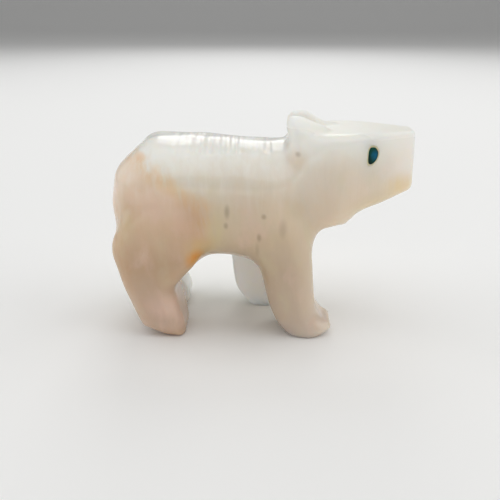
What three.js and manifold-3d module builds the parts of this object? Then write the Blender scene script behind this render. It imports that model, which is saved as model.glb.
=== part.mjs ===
// A small bear carved from one block of calcite. The back is rounded, the head is a wedge with a flat top,
// and the bear stands on four short legs with ground soles. A round stone is let in for each eye.
// Millimetres. +X is where the bear looks, +Y is its left side, +Z is up, and the soles stand on z = 0.

import * as THREE from "three";
import { mergeVertices } from "three/addons/utils/BufferGeometryUtils.js";
import Module from "manifold-3d";

// Driving dimensions.
const LENGTH = 56.2; // rump to muzzle
const EYE_WIDTH = 2.2; // eye stone, along the head
const EYE_HEIGHT = 2.5; // eye stone, upwards
const EYE_DEPTH = 1.6; // how deep the stone is let in
const EYE_CLEARANCE = 0.3; // bed of glue round and behind the stone

// The carving is drawn on a grid of a hundredth of its length, with x = 0 half way along.
const GRID = LENGTH / 100;

// Side outlines as seen from the bear's right: corners [x, z, softness]. A softness of 0 is a sharp corner,
// and 0.5 rounds it over half of each side next to it.
const TRUNK = [
  [-47.5, 32.9, 0.4],
  [-50.1, 43.6, 0.4],
  [-48.7, 55.2, 0.15],
  [-38.4, 65.2, 0.2],
  [-18.5, 64.6, 0.4],
  [2.0, 62.8, 0.45],
  [10.9, 64.1, 0.4],
  [17.5, 68.1, 0.4],
  [31.4, 68.0, 0.45],
  [49.4, 67.7, 0.05],
  [50.1, 48.1, 0.1],
  [37.8, 43.1, 0.35],
  [29.4, 39.5, 0.3],
  [18.2, 35.6, 0.2],
  [15.4, 26.7, 0.45],
  [-0.6, 23.9, 0.45],
  [-15.8, 26.0, 0.45],
  [-25.6, 22.8, 0.4],
  [-43.4, 23.1, 0.4],
];
const HIND_LEG_RIGHT = [
  [-50.7, 30.6, 0.25],
  [-46.2, 16.0, 0.4],
  [-40.5, 3.0, 0.12],
  [-33.1, -0.9, 0.3],
  [-26.8, -2.0, 0.3],
  [-25.2, 4.1, 0.4],
  [-29.1, 17.3, 0.12],
  [-20.2, 27.1, 0.4],
  [-22.0, 46.3, 0.4],
  [-43.4, 44.5, 0.4],
];
const HIND_LEG_LEFT = [
  [-50.7, 30.6, 0.25],
  [-46.2, 16.0, 0.4],
  [-39.5, 0.7, 0.2],
  [-33.1, -1.8, 0.3],
  [-29.8, -2.1, 0.3],
  [-25.4, 6.9, 0.45],
  [-30.2, 15.3, 0.3],
  [-20.2, 27.1, 0.4],
  [-22.0, 46.3, 0.4],
  [-43.4, 44.5, 0.4],
];
const FRONT_LEG_RIGHT = [
  [16.8, 31.2, 0.3],
  [17.2, 10.0, 0.3],
  [22.0, 7.1, 0.4],
  [24.3, 1.6, 0.3],
  [17.9, -2.5, 0.3],
  [10.6, -2.5, 0.3],
  [3.6, 6.9, 0.45],
  [-1.2, 24.9, 0.3],
  [-3.3, 46.3, 0.4],
  [15.4, 46.3, 0.4],
];
const FRONT_LEG_LEFT = [
  [8.1, 31.2, 0.3],
  [7.2, 11.9, 0.35],
  [13.2, 8.9, 0.4],
  [13.6, 0.9, 0.35],
  [9.1, -2.5, 0.3],
  [-3.7, -1.1, 0.2],
  [-10.8, 9.8, 0.45],
  [-11.5, 24.9, 0.35],
  [-10.8, 46.3, 0.4],
  [6.5, 46.3, 0.4],
];
const EAR_RIGHT = [
  [8.6, 58.8, 0.3],
  [7.0, 70.0, 0.35],
  [7.7, 73.5, 0.45],
  [13.6, 73.0, 0.4],
  [18.9, 70.9, 0.4],
  [21.1, 66.6, 0.3],
  [18.9, 58.8, 0.3],
];
const EAR_LEFT = [
  [9.7, 58.8, 0.3],
  [8.8, 69.4, 0.35],
  [9.9, 72.3, 0.45],
  [14.8, 72.6, 0.4],
  [18.4, 69.3, 0.4],
  [23.9, 66.6, 0.3],
  [18.9, 58.8, 0.3],
];

// Stations along the trunk: half its width, and the rounding of its upper and lower edges.
const STATIONS = [
  { at: -48.7, half: 16.9, upper: 8.9, lower: 8.9 }, // rump
  { at: -30.9, half: 21.4, upper: 14.2, lower: 14.2 }, // haunches
  { at: -13.1, half: 20.3, upper: 16.0, lower: 16.0 }, // waist
  { at: 2.9, half: 20.5, upper: 15.1, lower: 15.1 }, // shoulders
  { at: 12.7, half: 16.9, upper: 8.0, lower: 8.0 }, // neck
  { at: 18.9, half: 16.4, upper: 3.9, lower: 5.7 },
  { at: 25.2, half: 16.7, upper: 2.1, lower: 5.0 }, // cheeks
  { at: 31.4, half: 14.4, upper: 1.8, lower: 4.3 },
  { at: 37.6, half: 10.9, upper: 1.6, lower: 3.6 },
  { at: 43.9, half: 7.3, upper: 1.4, lower: 2.7 },
  { at: 49.2, half: 4.3, upper: 1.2, lower: 1.8 }, // muzzle
];
const UPPER_EDGE_FROM = 60.5; // the upper rounding holds above this height
const LOWER_EDGE_FROM = 49.8; // and the lower rounding below this one

// Across the bear: inner and outer faces, their roundings, and the fillet where the piece leaves the trunk.
const HIND_LEG_ACROSS = { inner: 5, outer: 20.6, outerEdge: 4.6, innerEdge: 1.1, fillet: 4.3 };
const FRONT_LEG_ACROSS = { inner: 5, outer: 20.8, outerEdge: 4.6, innerEdge: 1.1, fillet: 4.3 };
const EAR_ACROSS = { inner: 4.5, outer: 10.9, outerEdge: 2, innerEdge: 2, fillet: 2.1 };

// The eyes' centre on the side of the head.
const EYE_AT = { x: 34.8, z: 61.5 };

// Fineness of the solids.
const FACETS_ALONG = 40; // facets in the length of the bear
const CURVE_STEPS = 6; // straight steps in a rounded corner
const EYE_SIDES = 28; // sides of an eye stone

// Stone finishes.
const CALCITE = new THREE.MeshStandardMaterial({
  name: "calcite",
  color: 0xe6ddd1,
  roughness: 0.22,
  metalness: 0,
});
const TURQUOISE = new THREE.MeshStandardMaterial({
  name: "turquoise",
  color: 0x1d5f78,
  roughness: 0.25,
  metalness: 0,
});

const wasm = await Module();
wasm.setup();

// A closed outline in millimetres, with the distance from any point to it, negative inside.
class Outline {
  constructor(corners) {
    const points = corners.map(([x, z]) => new THREE.Vector2(x, z).multiplyScalar(GRID));
    const path = new THREE.Path();
    points.forEach((corner, i) => {
      const softness = corners[i][2];
      const before = points.at(i - 1);
      const after = points[(i + 1) % points.length];
      const start = corner.clone().lerp(before, softness);
      const end = corner.clone().lerp(after, softness);
      if (i === 0) path.moveTo(start.x, start.y);
      else path.lineTo(start.x, start.y);
      path.quadraticCurveTo(corner.x, corner.y, end.x, end.y);
    });
    path.closePath();
    this.ring = path.getPoints(CURVE_STEPS);
    this.box = new THREE.Box2().setFromPoints(this.ring);
  }

  distance(x, z) {
    const last = this.ring.length - 1;
    let nearest = Infinity;
    let inside = false;
    for (let i = 0; i < last; i++) {
      const a = this.ring[i];
      const b = this.ring[i + 1];
      const ex = b.x - a.x;
      const ez = b.y - a.y;
      const squared = ex * ex + ez * ez;
      if (squared === 0) continue;
      const along = THREE.MathUtils.clamp(((x - a.x) * ex + (z - a.y) * ez) / squared, 0, 1);
      const dx = x - a.x - along * ex;
      const dz = z - a.y - along * ez;
      nearest = Math.min(nearest, dx * dx + dz * dz);
      if (a.y > z !== b.y > z && x < a.x + (ex * (z - a.y)) / ez) inside = !inside;
    }
    return inside ? -Math.sqrt(nearest) : Math.sqrt(nearest);
  }
}

// A smooth curve through one value of every station.
class Profile {
  constructor(key) {
    this.at = STATIONS.map((station) => station.at * GRID);
    this.value = STATIONS.map((station) => station[key] * GRID);
    this.slope = this.at.map((_, i) => {
      const before = Math.max(i - 1, 0);
      const after = Math.min(i + 1, this.at.length - 1);
      return (this.value[after] - this.value[before]) / (this.at[after] - this.at[before]);
    });
  }

  valueAt(x) {
    const { at, value, slope } = this;
    const inside = THREE.MathUtils.clamp(x, at[0], at.at(-1));
    const next = Math.max(at.findIndex((place) => place >= inside), 1);
    const span = at[next] - at[next - 1];
    const t = (inside - at[next - 1]) / span;
    const rise = (1 + 2 * t) * (1 - t) ** 2 * value[next - 1] + t * t * (3 - 2 * t) * value[next];
    return rise + t * (1 - t) * span * ((1 - t) * slope[next - 1] - t * slope[next]);
  }
}

// Two distances intersected, with the edge between them rounded to a radius.
function roundedMeet(a, b, radius) {
  const outside = Math.hypot(Math.max(a + radius, 0), Math.max(b + radius, 0));
  return Math.min(Math.max(a, b) + radius, 0) + outside - radius;
}

// Two distances joined, with a fillet where they meet.
function filletJoin(a, b, fillet) {
  const near = Math.max(fillet - Math.abs(a - b), 0) / fillet;
  return Math.min(a, b) - (near * near * fillet) / 4;
}

// The carved form as a distance: negative inside the stone.
class BearForm {
  constructor() {
    this.trunk = new Outline(TRUNK);
    this.half = new Profile("half");
    this.upper = new Profile("upper");
    this.lower = new Profile("lower");
    this.limbs = [
      { outline: new Outline(HIND_LEG_RIGHT), side: -1, across: HIND_LEG_ACROSS },
      { outline: new Outline(HIND_LEG_LEFT), side: 1, across: HIND_LEG_ACROSS },
      { outline: new Outline(FRONT_LEG_RIGHT), side: -1, across: FRONT_LEG_ACROSS },
      { outline: new Outline(FRONT_LEG_LEFT), side: 1, across: FRONT_LEG_ACROSS },
      { outline: new Outline(EAR_RIGHT), side: -1, across: EAR_ACROSS },
      { outline: new Outline(EAR_LEFT), side: 1, across: EAR_ACROSS },
    ];
  }

  // What is the same all the way across the bear at one x and z.
  column(x, z) {
    const low = THREE.MathUtils.smoothstep(-z, -UPPER_EDGE_FROM * GRID, -LOWER_EDGE_FROM * GRID);
    return {
      trunk: this.trunk.distance(x, z),
      half: this.half.valueAt(x),
      edge: THREE.MathUtils.lerp(this.upper.valueAt(x), this.lower.valueAt(x), low),
      limbs: this.limbs.map((limb) => limb.outline.distance(x, z)),
    };
  }

  distanceIn(column, y) {
    let distance = roundedMeet(column.trunk, Math.abs(y) - column.half, column.edge);
    this.limbs.forEach(({ side, across }, i) => {
      const out = y * side;
      const outer = roundedMeet(column.limbs[i], out - across.outer * GRID, across.outerEdge * GRID);
      const inner = roundedMeet(column.limbs[i], across.inner * GRID - out, across.innerEdge * GRID);
      distance = filletJoin(distance, Math.max(outer, inner), across.fillet * GRID);
    });
    return distance;
  }

  distance(point) {
    return this.distanceIn(this.column(point.x, point.z), point.y);
  }

  // The direction straight out of the stone.
  outward(point) {
    const step = 0.1 * GRID;
    const here = this.column(point.x, point.z);
    const slope = (a, b) => a - b;
    return new THREE.Vector3(
      slope(
        this.distanceIn(this.column(point.x + step, point.z), point.y),
        this.distanceIn(this.column(point.x - step, point.z), point.y),
      ),
      slope(this.distanceIn(here, point.y + step), this.distanceIn(here, point.y - step)),
      slope(
        this.distanceIn(this.column(point.x, point.z + step), point.y),
        this.distanceIn(this.column(point.x, point.z - step), point.y),
      ),
    ).normalize();
  }

  box() {
    const box = new THREE.Box3();
    const widest = Math.max(...this.half.value, HIND_LEG_ACROSS.outer * GRID, FRONT_LEG_ACROSS.outer * GRID);
    for (const outline of [this.trunk, ...this.limbs.map((limb) => limb.outline)]) {
      box.expandByPoint(new THREE.Vector3(outline.box.min.x, -widest, outline.box.min.y));
      box.expandByPoint(new THREE.Vector3(outline.box.max.x, widest, outline.box.max.y));
    }
    return box;
  }
}

// Samples of a form on an even grid of cells, with z = 0 on a layer of the grid.
class Lattice {
  constructor(form, cell) {
    this.form = form;
    this.cell = cell;
    const margin = 2 * cell;
    const box = form.box().expandByScalar(margin);
    this.low = box.min.clone();
    this.low.y = -Math.ceil(-box.min.y / cell) * cell;
    this.low.z = -Math.ceil(-box.min.z / cell) * cell;
    this.count = [0, 1, 2].map((axis) => {
      return Math.ceil((box.max.getComponent(axis) - this.low.getComponent(axis)) / cell) + 1;
    });
    const [nx, ny, nz] = this.count;
    this.values = new Float64Array(nx * ny * nz);
    for (let i = 0; i < nx; i++) {
      for (let k = 0; k < nz; k++) {
        const column = form.column(this.low.x + i * cell, this.low.z + k * cell);
        for (let j = 0; j < ny; j++) {
          this.values[this.index(i, j, k)] = form.distanceIn(column, this.low.y + j * cell);
        }
      }
    }
  }

  index(i, j, k) {
    return (i * this.count[1] + j) * this.count[2] + k;
  }

  place(i, j, k) {
    return new THREE.Vector3(i, j, k).multiplyScalar(this.cell).add(this.low);
  }

  valueAt(node) {
    return this.values[this.index(...node)];
  }

  // Where an edge of the grid goes through the surface, or null.
  crossing(node, axis) {
    const end = node.slice();
    end[axis] += 1;
    const a = this.valueAt(node);
    const b = this.valueAt(end);
    if (a < 0 === b < 0) return null;
    const point = this.place(...node);
    point.setComponent(axis, point.getComponent(axis) + (this.cell * a) / (a - b));
    return { point, normal: this.form.outward(point), leaves: a < 0 };
  }
}

// The closed surface of a form: one vertex for each cell it crosses, settled on the planes that touch the
// form where the cell's edges go through it, and one face for each edge that goes through.
function surfaceOf(form, cell) {
  const lattice = new Lattice(form, cell);
  const cells = new Map();
  const faces = [];
  const across = [
    [1, 2],
    [2, 0],
    [0, 1],
  ];
  for (let i = 1; i < lattice.count[0] - 1; i++) {
    for (let j = 1; j < lattice.count[1] - 1; j++) {
      for (let k = 1; k < lattice.count[2] - 1; k++) {
        for (let axis = 0; axis < 3; axis++) {
          const hit = lattice.crossing([i, j, k], axis);
          if (!hit) continue;
          const [u, v] = across[axis];
          const around = [
            [0, 0],
            [-1, 0],
            [-1, -1],
            [0, -1],
          ].map(([du, dv]) => {
            const corner = [i, j, k];
            corner[u] += du;
            corner[v] += dv;
            const key = lattice.index(...corner);
            if (!cells.has(key)) cells.set(key, { corner, hits: [] });
            cells.get(key).hits.push(hit);
            return key;
          });
          faces.push(hit.leaves ? around : around.reverse());
        }
      }
    }
  }
  const vertexOf = new Map();
  const positions = [];
  for (const [key, { corner, hits }] of cells) {
    vertexOf.set(key, positions.length / 3);
    positions.push(...settle(hits, lattice.place(...corner), cell).toArray());
  }
  const triangles = faces.flatMap((face) => halves(face.map((key) => vertexOf.get(key)), positions));
  const geometry = new THREE.BufferGeometry();
  geometry.setAttribute("position", new THREE.Float32BufferAttribute(positions, 3));
  geometry.setIndex(triangles);
  return geometry;
}

// The point inside a cell that lies best on all the touching planes.
function settle(hits, corner, cell) {
  const rounds = 24;
  const point = new THREE.Vector3();
  hits.forEach((hit) => point.addScaledVector(hit.point, 1 / hits.length));
  const room = new THREE.Box3(corner, corner.clone().addScalar(cell));
  for (let round = 0; round < rounds; round++) {
    const pull = new THREE.Vector3();
    for (const hit of hits) {
      const off = hit.normal.dot(hit.point) - hit.normal.dot(point);
      pull.addScaledVector(hit.normal, off / hits.length);
    }
    point.add(pull);
  }
  return point.clamp(room.min, room.max);
}

// A four-sided face as two triangles, split along its shorter diagonal.
function halves([a, b, c, d], positions) {
  const at = (vertex) => new THREE.Vector3().fromArray(positions, vertex * 3);
  const straight = at(a).distanceTo(at(c)) <= at(b).distanceTo(at(d));
  return straight ? [a, b, c, a, c, d] : [a, b, d, b, c, d];
}

// A closed geometry as a solid that can be cut and joined.
function solidOf(geometry) {
  const plain = geometry.clone();
  plain.deleteAttribute("normal");
  plain.deleteAttribute("uv");
  const merged = mergeVertices(plain, 1e-5);
  return new wasm.Manifold(
    new wasm.Mesh({
      numProp: 3,
      vertProperties: merged.attributes.position.array,
      triVerts: new Uint32Array(merged.index.array),
    }),
  );
}

// A solid as a named mesh, moved by an offset.
function meshOf(name, solid, material, offset) {
  const { vertProperties, triVerts } = solid.getMesh();
  const geometry = new THREE.BufferGeometry();
  geometry.setAttribute("position", new THREE.BufferAttribute(vertProperties, 3));
  geometry.setIndex(new THREE.BufferAttribute(triVerts, 1));
  geometry.translate(offset.x, offset.y, offset.z);
  geometry.computeVertexNormals();
  const mesh = new THREE.Mesh(geometry, material);
  mesh.name = name;
  return mesh;
}

// Everything below the soles, to be ground away.
function groundBlock(form) {
  const size = form.box().getSize(new THREE.Vector3()).multiplyScalar(2);
  return solidOf(new THREE.BoxGeometry(size.x, size.y, size.z).translate(0, 0, -size.z / 2));
}

// Where an eye sits on the side of the head, and the direction straight out of the stone there.
function eyeSeat(form, side) {
  const halvings = 40;
  let inner = 0;
  let outer = form.box().max.y;
  for (let i = 0; i < halvings; i++) {
    const middle = (inner + outer) / 2;
    const point = new THREE.Vector3(EYE_AT.x * GRID, side * middle, EYE_AT.z * GRID);
    if (form.distance(point) < 0) inner = middle;
    else outer = middle;
  }
  const centre = new THREE.Vector3(EYE_AT.x * GRID, side * outer, EYE_AT.z * GRID);
  return { centre, outward: form.outward(centre) };
}

// An upright oval peg along the eye's axis: grown sideways, and reaching a depth below the seat.
function eyePeg({ centre, outward }, grow, depth) {
  const proud = EYE_DEPTH;
  const peg = new THREE.CylinderGeometry(1, 1, depth + proud, EYE_SIDES);
  peg.scale(EYE_WIDTH / 2 + grow, 1, EYE_HEIGHT / 2 + grow);
  peg.translate(0, (proud - depth) / 2, 0);
  const sideways = new THREE.Vector3(0, 0, 1).cross(outward).normalize();
  const upward = outward.clone().cross(sideways);
  peg.applyMatrix4(new THREE.Matrix4().makeBasis(sideways.negate(), outward, upward).setPosition(centre));
  return solidOf(peg);
}

function carveBear() {
  const form = new BearForm();
  const block = solidOf(surfaceOf(form, LENGTH / FACETS_ALONG)).subtract(groundBlock(form));
  let body = block;
  const stones = [];
  for (const [name, side] of [["eye_right", -1], ["eye_left", 1]]) {
    const seat = eyeSeat(form, side);
    body = body.subtract(eyePeg(seat, EYE_CLEARANCE, EYE_DEPTH + EYE_CLEARANCE));
    stones.push([name, eyePeg(seat, 0, EYE_DEPTH).intersect(block)]);
  }
  const { min, max } = block.boundingBox();
  const offset = new THREE.Vector3(-(min[0] + max[0]) / 2, -(min[1] + max[1]) / 2, 0);
  const bear = new THREE.Group();
  bear.add(meshOf("bear_body", body, CALCITE, offset));
  stones.forEach(([name, stone]) => bear.add(meshOf(name, stone, TURQUOISE, offset)));
  return bear;
}

const bear = carveBear();

export default bear;
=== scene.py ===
"""A small bear carved from translucent calcite, with stone eyes let into a flat-topped wedge of a head.

The carving is a distance field drawn from side outlines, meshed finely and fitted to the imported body's box.
"""

import logging
import math
from collections.abc import Iterable, Sequence
from dataclasses import dataclass, field
from enum import Enum
from typing import ClassVar

import bpy
import numpy as np
from mathutils import Matrix, Vector


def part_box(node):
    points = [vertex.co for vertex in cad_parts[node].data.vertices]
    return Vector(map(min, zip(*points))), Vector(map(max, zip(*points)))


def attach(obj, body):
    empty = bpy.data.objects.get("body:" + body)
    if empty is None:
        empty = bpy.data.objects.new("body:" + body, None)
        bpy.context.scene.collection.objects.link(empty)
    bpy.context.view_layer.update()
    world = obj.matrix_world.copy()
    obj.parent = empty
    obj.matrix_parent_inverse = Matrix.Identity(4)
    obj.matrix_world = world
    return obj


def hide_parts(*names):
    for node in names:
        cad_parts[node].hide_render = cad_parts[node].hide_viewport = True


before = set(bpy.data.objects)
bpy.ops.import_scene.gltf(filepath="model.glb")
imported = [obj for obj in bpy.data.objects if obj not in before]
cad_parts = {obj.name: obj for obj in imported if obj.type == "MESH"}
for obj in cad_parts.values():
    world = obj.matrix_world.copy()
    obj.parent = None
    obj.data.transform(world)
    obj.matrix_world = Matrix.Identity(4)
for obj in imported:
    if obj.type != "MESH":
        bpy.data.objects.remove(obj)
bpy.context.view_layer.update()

log = logging.getLogger("calcite_bear")

Corner = tuple[float, float, float]
Colour = tuple[float, float, float]

Socket = bpy.types.NodeSocket
Material = bpy.types.Material

MM = 0.001


class Side(Enum):
    """The two sides of the bear, as signs of y."""

    RIGHT = -1
    LEFT = 1


# The side view, from the bear's right: corners x, z and softness, in hundredths of the length.
TRUNK: list[Corner] = [
    (-46.7, 33.1, 0.4), (-50.1, 43.4, 0.4), (-48.0, 55.9, 0.25), (-37.3, 65.5, 0.22), (-18.3, 65.4, 0.4),
    (2.2, 63.3, 0.45), (10.6, 64.6, 0.4), (17.6, 67.7, 0.4), (31.4, 68.1, 0.45), (49.4, 67.5, 0.08),
    (50.0, 47.9, 0.14), (40.2, 44.5, 0.3), (32.5, 42.7, 0.3), (28.6, 39.7, 0.3), (19.3, 36.1, 0.2),
    (12.8, 28.4, 0.45), (-0.6, 23.3, 0.45), (-15.0, 26.4, 0.45), (-25.7, 23.5, 0.4), (-43.4, 23.1, 0.4),
]
HIND_LEG_RIGHT: list[Corner] = [
    (-50.1, 31.8, 0.3), (-45.9, 16.5, 0.4), (-40.7, 3.4, 0.12), (-32.5, -0.2, 0.3), (-26.3, -1.0, 0.3),
    (-26.0, 3.5, 0.4), (-29.5, 17.3, 0.12), (-20.5, 27.2, 0.4), (-22.0, 46.3, 0.4), (-43.2, 44.4, 0.4),
]
HIND_LEG_LEFT: list[Corner] = [
    (-50.7, 30.6, 0.25), (-46.2, 16.0, 0.4), (-39.5, 0.7, 0.2), (-33.1, -1.8, 0.3), (-29.7, -2.0, 0.3),
    (-25.9, 4.9, 0.45), (-31.8, 13.1, 0.3), (-20.2, 27.1, 0.4), (-22.0, 46.3, 0.4), (-43.4, 44.5, 0.4),
]
FRONT_LEG_RIGHT: list[Corner] = [
    (16.0, 31.1, 0.3), (18.1, 9.6, 0.25), (20.4, 5.7, 0.4), (24.7, 3.0, 0.35), (16.9, -3.5, 0.3),
    (10.1, -1.7, 0.3), (3.3, 6.1, 0.45), (-0.9, 25.0, 0.3), (-3.3, 46.3, 0.4), (8.4, 47.5, 0.4),
]
FRONT_LEG_LEFT: list[Corner] = [
    (8.1, 31.2, 0.3), (7.2, 11.9, 0.35), (13.2, 8.9, 0.4), (13.6, 0.9, 0.35), (9.1, -2.5, 0.3),
    (-3.7, -0.1, 0.2), (-10.3, 8.7, 0.45), (-11.3, 25.0, 0.35), (-10.8, 46.3, 0.4), (3.5, 46.3, 0.4),
]
EAR_RIGHT: list[Corner] = [
    (9.5, 58.8, 0.3), (7.2, 69.4, 0.35), (8.3, 72.7, 0.48), (12.4, 72.4, 0.45), (16.0, 70.6, 0.4),
    (20.6, 68.6, 0.3), (18.5, 58.8, 0.3),
]
EAR_LEFT: list[Corner] = [
    (9.7, 58.8, 0.3), (7.7, 69.7, 0.35), (9.3, 72.8, 0.4), (14.7, 73.2, 0.4), (18.8, 69.5, 0.4),
    (24.5, 66.8, 0.3), (18.9, 58.8, 0.3),
]


@dataclass(frozen=True)
class Station:
    """The trunk at one place along it: half its width, and the rounding of its upper and lower edges."""

    at: float
    half: float
    upper: float
    lower: float


STATIONS = (
    Station(-48.7, 16.9, 12.0, 8.9),
    Station(-30.9, 21.4, 18.6, 14.2),
    Station(-13.1, 20.3, 19.0, 16.0),
    Station(2.9, 20.5, 18.6, 15.1),
    Station(8.2, 19.0, 17.6, 11.8),
    Station(12.7, 16.9, 10.0, 8.0),
    Station(18.9, 16.4, 5.0, 5.7),
    Station(25.2, 16.7, 4.2, 5.0),
    Station(31.4, 14.4, 2.6, 4.3),
    Station(37.6, 10.9, 1.8, 3.6),
    Station(43.9, 7.3, 1.4, 2.7),
    Station(49.2, 4.3, 1.2, 1.8),
)


@dataclass(frozen=True)
class Across:
    """How a limb sits across the bear: its two faces, their edges, and the fillet at the trunk.

    The outer face leans out by a share of the depth below a level.
    """

    inner: float
    outer: float
    outer_edge: float
    inner_edge: float
    fillet: float
    lean: float = 0.0
    level: float = 72.0


HIND_LEG_ACROSS = Across(inner=5, outer=20.6, outer_edge=4.6, inner_edge=1.1, fillet=4.3)
FRONT_LEG_ACROSS = Across(inner=5, outer=20.6, outer_edge=6.0, inner_edge=1.1, fillet=6.0)
EAR_ACROSS = Across(inner=3.6, outer=8.6, outer_edge=4.4, inner_edge=2.0, fillet=2.8, lean=0.6)


def soft_ring(corners: Sequence[Corner], steps: int) -> np.ndarray:
    """A closed outline's points, with a parabola at each corner.

    Args:
        corners: the outline's corners, each with its softness.
        steps: how many steps each parabola has.

    Returns:
        The points, one row each.
    """
    places = np.array([corner[:2] for corner in corners])
    t = np.linspace(0, 1, steps + 1)[:, None]
    arcs = []
    for i, (_, _, softness) in enumerate(corners):
        corner = places[i]
        start = corner + (places[i - 1] - corner) * softness
        end = corner + (places[(i + 1) % len(places)] - corner) * softness
        arcs.append((1 - t) ** 2 * start + 2 * t * (1 - t) * corner + t * t * end)
    return np.concatenate(arcs)


class DistanceSheet:
    """The distance to one side outline, kept on an even sheet and read back smoothly."""

    LOW = (-58.0, -10.0)
    HIGH = (58.0, 82.0)
    STEP = 0.5
    CURVE_STEPS = 14
    SHORTEST = 1e-12

    def __init__(self, corners: Sequence[Corner]) -> None:
        """Fills the sheet.

        Args:
            corners: the outline's corners x, z and softness, in a ring.
        """
        xs = np.arange(self.LOW[0], self.HIGH[0], self.STEP)
        zs = np.arange(self.LOW[1], self.HIGH[1], self.STEP)
        self.values = self._signed(soft_ring(corners, self.CURVE_STEPS), *np.meshgrid(xs, zs, indexing="ij"))

    @staticmethod
    def _signed(ring: np.ndarray, x: np.ndarray, z: np.ndarray) -> np.ndarray:
        """Distances to a closed ring, negative inside.

        Args:
            ring: the ring's points.
            x: places along.
            z: places up.

        Returns:
            The distances.
        """
        nearest = np.full(x.shape, np.inf)
        inside = np.zeros(x.shape, bool)
        for (ax, az), (bx, bz) in zip(ring, np.roll(ring, -1, axis=0)):
            ex, ez = bx - ax, bz - az
            squared = ex * ex + ez * ez
            if squared < DistanceSheet.SHORTEST:
                continue
            along = np.clip(((x - ax) * ex + (z - az) * ez) / squared, 0, 1)
            nearest = np.minimum(nearest, (x - ax - along * ex) ** 2 + (z - az - along * ez) ** 2)
            if ez:
                inside ^= ((az > z) != (bz > z)) & (x < ax + ex * (z - az) / ez)
        return np.where(inside, -1, 1) * np.sqrt(nearest)

    @staticmethod
    def _weights(t: np.ndarray) -> tuple[np.ndarray, ...]:
        """The four weights of a cubic B-spline at t."""
        return ((1 - t) ** 3 / 6, (3 * t**3 - 6 * t**2 + 4) / 6, (1 + 3 * (t + t * t - t**3)) / 6, t**3 / 6)

    def read(self, x: np.ndarray, z: np.ndarray) -> np.ndarray:
        """The distance at any places.

        Args:
            x: places along.
            z: places up, of the same shape.

        Returns:
            The distances.
        """
        u = (x - self.LOW[0]) / self.STEP
        v = (z - self.LOW[1]) / self.STEP
        i = np.clip(u.astype(int), 1, self.values.shape[0] - 3)
        k = np.clip(v.astype(int), 1, self.values.shape[1] - 3)
        total = np.zeros(np.shape(x))
        for a, along in enumerate(self._weights(u - i)):
            for b, up in enumerate(self._weights(v - k)):
                total += along * up * self.values[i + a - 1, k + b - 1]
        return total


def rounded_meet(a: np.ndarray, b: np.ndarray, radius: np.ndarray | float) -> np.ndarray:
    """The distance to what two forms both hold, with the edge between them rounded."""
    outside = np.hypot(np.maximum(a + radius, 0), np.maximum(b + radius, 0))
    return np.minimum(np.maximum(a, b) + radius, 0) + outside - radius


def fillet_join(a: np.ndarray, b: np.ndarray, fillet: float) -> np.ndarray:
    """The distance to what either of two forms holds, with a fillet where they meet."""
    near = np.maximum(fillet - np.abs(a - b), 0) / fillet
    return np.minimum(a, b) - near * near * fillet / 4


def smooth_step(value: np.ndarray) -> np.ndarray:
    """A rise from 0 to 1 with soft ends, for values from 0 to 1 and beyond."""
    t = np.clip(value, 0, 1)
    return t * t * (3 - 2 * t)


@dataclass(frozen=True)
class Nick:
    """A small dent left by a tool, or a small hump where the depth is below 0.

    It goes right across the bear, or it is only near one place across.
    """

    x: float
    z: float
    reach: float
    depth: float
    y: float | None = None


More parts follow.
